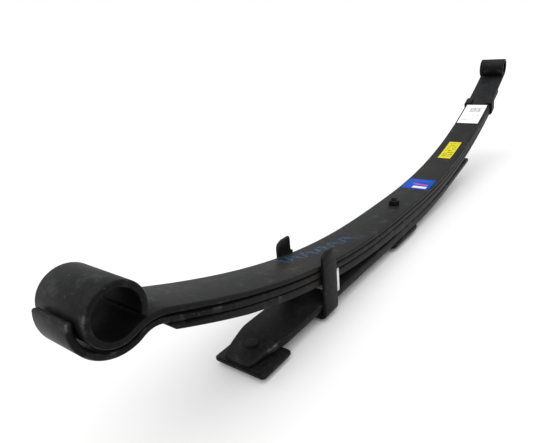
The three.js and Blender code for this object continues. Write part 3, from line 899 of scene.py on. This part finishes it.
# turns rings of radius and height about z; shape may move each point of a ring
def lathe(name, rings, finish, slot, *nodes, sides=40, place=None, up=None, shape=None):
    shell = bmesh.new()
    rows = []
    for radius, z in rings:
        if radius <= 0:
            rows.append([shell.verts.new((0, 0, z))])
            continue
        row = []
        for i in range(sides):
            angle = math.tau * i / sides
            r, h = shape(radius, z, angle) if shape else (radius, z)
            row.append(shell.verts.new((r * math.cos(angle), r * math.sin(angle), h)))
        rows.append(row)
    for lower, upper in zip(rows, rows[1:]):
        for i in range(sides):
            j = (i + 1) % sides
            corners = [lower[i % len(lower)], lower[j % len(lower)]]
            corners += [upper[j % len(upper)], upper[i % len(upper)]]
            shell.faces.new(list(dict.fromkeys(corners)))
    bmesh.ops.recalc_face_normals(shell, faces=shell.faces)
    mesh = bpy.data.meshes.new(name)
    shell.to_mesh(mesh)
    shell.free()
    turn = Vector((0, 0, 1)).rotation_difference(up or Vector((0, 0, 1))).to_matrix().to_4x4()
    start = (place or Vector((0, 0, 0))) * mm + Vector((0, 0, topLevel))
    mesh.transform(Matrix.Translation(start) @ turn @ Matrix.Scale(mm, 4))
    for polygon in mesh.polygons:
        polygon.use_smooth = True
    mesh.materials.append(finishes[finish])
    mesh.set_sharp_from_angle(angle=math.radians(sharpAngle))
    piece = bpy.data.objects.new(name, mesh)
    bpy.context.scene.collection.objects.link(piece)
    return finished(piece, slot, *nodes)


centreBolt = {
    "radius": 5, "pitch": 1.5, "cut": 0.55, "threadStep": 0.25, "endDraw": 1.2,
    "headRadius": 8, "headHeight": 6, "chamfer": 0.9, "neckRound": 0.4,
}
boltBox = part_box("centre_bolt")


def boltRings():
    low = (boltBox[0].z - topLevel) / mm
    high = (boltBox[1].z - topLevel) / mm
    bolt = centreBolt
    head = bolt["headRadius"]
    neck = low + bolt["headHeight"]
    rings = [(0, low), (head - bolt["chamfer"], low), (head, low + bolt["chamfer"])]
    rings += [(head, neck - bolt["neckRound"]), (head - bolt["neckRound"], neck)]
    rings += [(bolt["radius"], neck), (bolt["radius"], 0)]
    steps = int(high / bolt["threadStep"])
    rings += [(bolt["radius"], high * (i + 1) / (steps + 1)) for i in range(steps)]
    return rings + [(bolt["radius"] - bolt["endDraw"], high), (0, high)]


# the thread stands on the shank over the main leaf's top
def threadShape(radius, z, angle):
    if radius != centreBolt["radius"] or z <= 0:
        return radius, z
    phase = (z / centreBolt["pitch"] - angle / math.tau) % 1
    return radius - centreBolt["cut"] * abs(2 * phase - 1), z


lathe("centreBolt", boltRings(), "fittingPaint", "black_paint", "centre_bolt", sides=36, shape=threadShape)

centreNut = {"flats": 17, "bore": 5.3, "chamfer": 0.6, "facing": 0.96, "cornerDrop": 0.55, "cornerRim": 0.1}


def nutRings():
    low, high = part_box("centre_nut")
    bottom, top = (low.z - topLevel) / mm, (high.z - topLevel) / mm
    flat = centreNut["flats"] / 2
    face = flat * centreNut["facing"]
    bore, chamfer = centreNut["bore"], centreNut["chamfer"]
    return [
        (bore, bottom + chamfer), (bore + chamfer, bottom), (face, bottom),
        (flat, bottom + chamfer / 2), (flat, bottom + chamfer), (flat, (bottom + top) / 2),
        (flat, top - chamfer), (flat, top - chamfer / 2), (face, top),
        (bore + chamfer, top), (bore, top - chamfer), (bore, bottom + chamfer),
    ]


# flats come from the hexagon's rule, and the corners drop away as a turned chamfer leaves them
def hexShape(radius, z, angle):
    flat = centreNut["flats"] / 2
    if radius < flat:
        return radius, z
    half = math.pi / 6
    turned = (angle + half) % (2 * half) - half
    reach = flat / math.cos(turned)
    low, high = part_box("centre_nut")
    middle = ((low.z + high.z) / 2 - topLevel) / mm
    drop = max(0, reach - flat) * centreNut["cornerDrop"]
    limit = (high.z - low.z) / 2 / mm - centreNut["cornerRim"] - drop
    height = min(abs(z - middle), limit)
    return reach, middle + math.copysign(height, z - middle)


lathe("centreNut", nutRings(), "fittingPaint", "black_paint", "centre_nut", sides=72, shape=hexShape)

rivet = {
    "radius": 4, "head": 7.5, "height": 3.5, "flushHeight": 1, "rim": 0.5, "rimDraw": 0.3,
    "domeRings": 8, "rest": 0.3,
}


# a round head on a shank, from the shank's far end to the top of the dome
def rivetRings(shank, height):
    head, rim = rivet["head"], rivet["rim"]
    rings = [(0, -shank), (rivet["radius"], -shank), (rivet["radius"], 0)]
    rings += [(head - rivet["rimDraw"], 0), (head, rim)]
    for i in range(1, rivet["domeRings"]):
        angle = math.pi / 2 * i / rivet["domeRings"]
        rings.append((head * math.cos(angle), rim + (height - rim) * math.sin(angle)))
    return rings + [(0, height)]


def boxMiddle(node):
    low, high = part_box(node)
    return (low + high) / 2 / mm


padRivetLow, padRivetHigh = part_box("pad_rivet")
padHeadLevel = (padRivetHigh.z - topLevel) / mm - rivet["flushHeight"]
padShank = padHeadLevel - (padRivetLow.z - topLevel) / mm
lathe("padRivet", rivetRings(padShank, rivet["flushHeight"]), "fittingPaint", "black_paint", "pad_rivet",
      place=Vector((boxMiddle("pad_rivet").x, 0, padHeadLevel)))

clipRivetLow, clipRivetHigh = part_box("front_clip_rivet")
clipHeadLevel = (clipRivetLow.z - topLevel) / mm + rivet["height"]
clipShank = (clipRivetHigh.z - topLevel) / mm - clipHeadLevel
almostDown = Vector((0, 0.0001, -1))  # a turn from straight up to straight down has no one axis
lathe("frontClipRivet", rivetRings(clipShank, rivet["height"]), "fittingPaint", "black_paint",
      "front_clip_rivet", place=Vector((boxMiddle("front_clip_rivet").x, 0, clipHeadLevel)), up=almostDown)

rearHere = archStop(rearClip["place"])
rearRivetDepth = thirdDepth + thirdThickness(rearClip["place"])
rearRivetDepth += rearClip["gap"] + rearClip["thickness"] + rivet["rest"]
rearShank = rearRivetDepth - thirdDepth - rivet["rest"]
lathe("rearClipRivet", rivetRings(rearShank, rivet["height"]), "fittingPaint", "black_paint",
      "rear_clip_rivet", place=rearHere["point"] - rearHere["up"] * rearRivetDepth, up=-rearHere["up"])
print("bolt, nut and rivets turned")


# the plated liner is a base on the overload leaf and a tab up each side
liner = {"thickness": 2, "tabLength": 9, "innerBend": 0.2, "edge": 0.5}


def linerStops():
    low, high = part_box("clip_liner")
    wall = liner["thickness"]
    outer = high.y / mm
    floor = (low.z - topLevel) / mm
    top = (high.z - topLevel) / mm
    rear = high.x / mm
    front = rear - liner["tabLength"]
    bend = wall + liner["innerBend"]
    points = [{"point": Vector((0, -outer + wall / 2, top)), "up": Vector((0, 1, 0))}]
    base = Vector((0, 0, floor + bend))
    bendRound(points, base + Vector((0, -outer + bend, 0)), bend - wall / 2, 180, 90, 5)
    bendRound(points, base + Vector((0, outer - bend, 0)), bend - wall / 2, 270, 90, 5)
    points.append({"point": Vector((0, outer - wall / 2, top)), "up": Vector((0, -1, 0))})
    for stop in points:
        stop["s"] = stop["point"].z
        stop["point"] = stop["point"] + Vector(((front + rear) / 2, 0, 0))
        stop["across"] = Vector((1, 0, 0))
        stop["half"] = (rear - front) / 2
        stop["high"], stop["low"], stop["edge"] = wall / 2, -wall / 2, liner["edge"]
    return points


sweep("clipLiner", linerStops(), "zincPlate", "zinc_plate", "clip_liner", corner=4)


# labels lie just over the main leaf
labelFilm = {"lift": 0.04, "thickness": 0.22, "edge": 0.1, "step": 4}


def labelStops(layout):
    stops = archStops(layout["start"], layout["start"] + layout["length"], labelFilm["step"])
    middle = (layout["low"] + layout["high"]) / 2
    half = (layout["high"] - layout["low"]) / 2
    for stop in stops:
        stop["point"] = stop["point"] + Vector((0, middle, 0))
    lift = labelFilm["lift"] + labelFilm["thickness"]
    return bar(stops, lift, labelFilm["lift"], half, labelFilm["edge"])


slotOfLabel = {"label_blue": "blue_label", "label_yellow": "yellow_label", "label_white": "white_label"}
for labelName, labelLayout in labelLayouts.items():
    sweep(labelName.replace("_", ".") + ".film", labelStops(labelLayout), labelName,
          slotOfLabel[labelName], labelName, corner=2)
print("labels laid")

# shims and tip pads keep their own shapes and only take a finish
for nodeName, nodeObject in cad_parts.items():
    if "shim" in nodeName or "tip_pad" in nodeName:
        nodeObject.data.materials.clear()
        nodeObject.data.materials.append(finishes["shimSteel" if "shim" in nodeName else "padPlastic"])


studio = {
    "floorSize": 90, "floorDrop": 0.0005, "floorRough": 0.9, "floorClouds": 3.0,
    "floorColour": (0.63, 0.63, 0.63, 1), "floorLight": (0.65, 0.65, 0.65, 1),
    "sky": (1.0, 1.0, 1.0, 1), "skyStrength": 1.0,
    "softPower": 2.5, "softSpread": 70, "softFrom": (-0.45, -0.15, 1.0),
}


def addFloor():
    half = studio["floorSize"] / 2
    z = cadBox[0].z - studio["floorDrop"]
    mesh = bpy.data.meshes.new("floor")
    corners = [(-half, -half, z), (half, -half, z), (half, half, z), (-half, half, z)]
    mesh.from_pydata(corners, [], [(0, 1, 2, 3)])
    floor = bpy.data.objects.new("floor", mesh)
    bpy.context.scene.collection.objects.link(floor)
    material, tree, shader = newFinish("floorPaint")
    place = tree.add("ShaderNodeTexCoord").out("Object")
    cloud = tree.noise(place, studio["floorClouds"])
    pale = tree.mixColour(cloud, studio["floorColour"], studio["floorLight"])
    tree.plug(shader.inputs["Base Color"], pale)
    shader.inputs["Roughness"].default_value = studio["floorRough"]
    mesh.materials.append(material)


# a wide soft light that falls evenly on the whole floor
def addLight():
    light = bpy.data.lights.new("softLight", "SUN")
    light.energy = studio["softPower"]
    light.angle = math.radians(studio["softSpread"])
    lamp = bpy.data.objects.new("softLight", light)
    lamp.rotation_mode = "QUATERNION"
    lamp.rotation_quaternion = Vector(studio["softFrom"]).to_track_quat("Z", "Y")
    bpy.context.scene.collection.objects.link(lamp)


addFloor()
addLight()
world = bpy.data.worlds.new("studio")
bpy.context.scene.world = world
world.use_nodes = True
background = world.node_tree.nodes["Background"]
background.inputs["Color"].default_value = studio["sky"]
background.inputs["Strength"].default_value = studio["skyStrength"]
bpy.context.scene.view_settings.view_transform = "Standard"

# degrees; azimuth from +Y towards +X, place in mm from the main leaf's top at the bolt
eyePoint = {
    "place": (-673.9, -281.2, 257.2), "azimuth": 55.61, "elevation": -23.58, "roll": -3.68,
    "lens": 29.41, "sensor": 36, "shiftX": -0.080, "shiftY": 0.0325, "near": 0.02, "far": 50,
}


def addCamera():
    azimuth, elevation, roll = (math.radians(eyePoint[key]) for key in ("azimuth", "elevation", "roll"))
    right = Vector((math.cos(azimuth), -math.sin(azimuth), 0))
    level = math.cos(elevation)
    forward = Vector((math.sin(azimuth) * level, math.cos(azimuth) * level, math.sin(elevation)))
    upward = right.cross(forward)
    turnedRight = right * math.cos(roll) + upward * math.sin(roll)
    turnedUp = upward * math.cos(roll) - right * math.sin(roll)
    data = bpy.data.cameras.new("camera")
    data.sensor_width = eyePoint["sensor"]
    data.lens = eyePoint["lens"]
    data.shift_x = eyePoint["shiftX"]
    data.shift_y = eyePoint["shiftY"]
    data.clip_start = eyePoint["near"]
    data.clip_end = eyePoint["far"]
    camera = bpy.data.objects.new("camera", data)
    turn = Matrix((turnedRight, turnedUp, -forward)).transposed().to_4x4()
    place = Vector(eyePoint["place"]) * mm + Vector((0, 0, topLevel))
    camera.matrix_world = Matrix.Translation(place) @ turn
    bpy.context.scene.collection.objects.link(camera)
    bpy.context.scene.camera = camera


addCamera()
print("floor, light and camera set")
